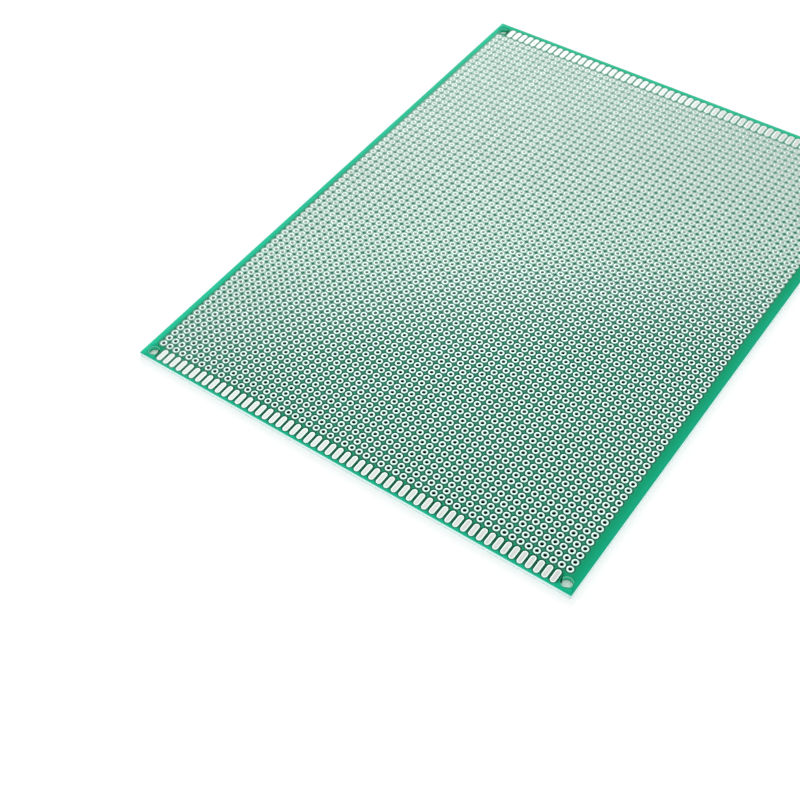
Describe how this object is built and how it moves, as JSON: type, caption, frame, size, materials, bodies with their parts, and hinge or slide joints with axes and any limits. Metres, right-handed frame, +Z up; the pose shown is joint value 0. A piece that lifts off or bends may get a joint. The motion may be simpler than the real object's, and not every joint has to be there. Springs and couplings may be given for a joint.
{
  "type": "bare circuit board",
  "caption": "Bare prototyping board: drilled glass-fibre sheet with a green mask, a grid of tinned solder pads and a row of finger pads at each short end.",
  "frame": {"origin": "centre of the board's underside", "axes": "+X along the rows of finger pads, +Y along the board's length, +Z up through the pads"},
  "size_m": [0.15, 0.2, 0.0016],
  "materials": {
    "laminate": "translucent glass-fibre epoxy, satin",
    "solder_mask": "glossy green film",
    "round_pads": "bright levelled tin",
    "finger_pads": "bright levelled tin"
  },
  "bodies": {
    "root": {"laminate": "laminate", "solder_mask": "solder_mask", "round_pads": "round_pads", "finger_pads": "finger_pads"}
  },
  "joints": []
}
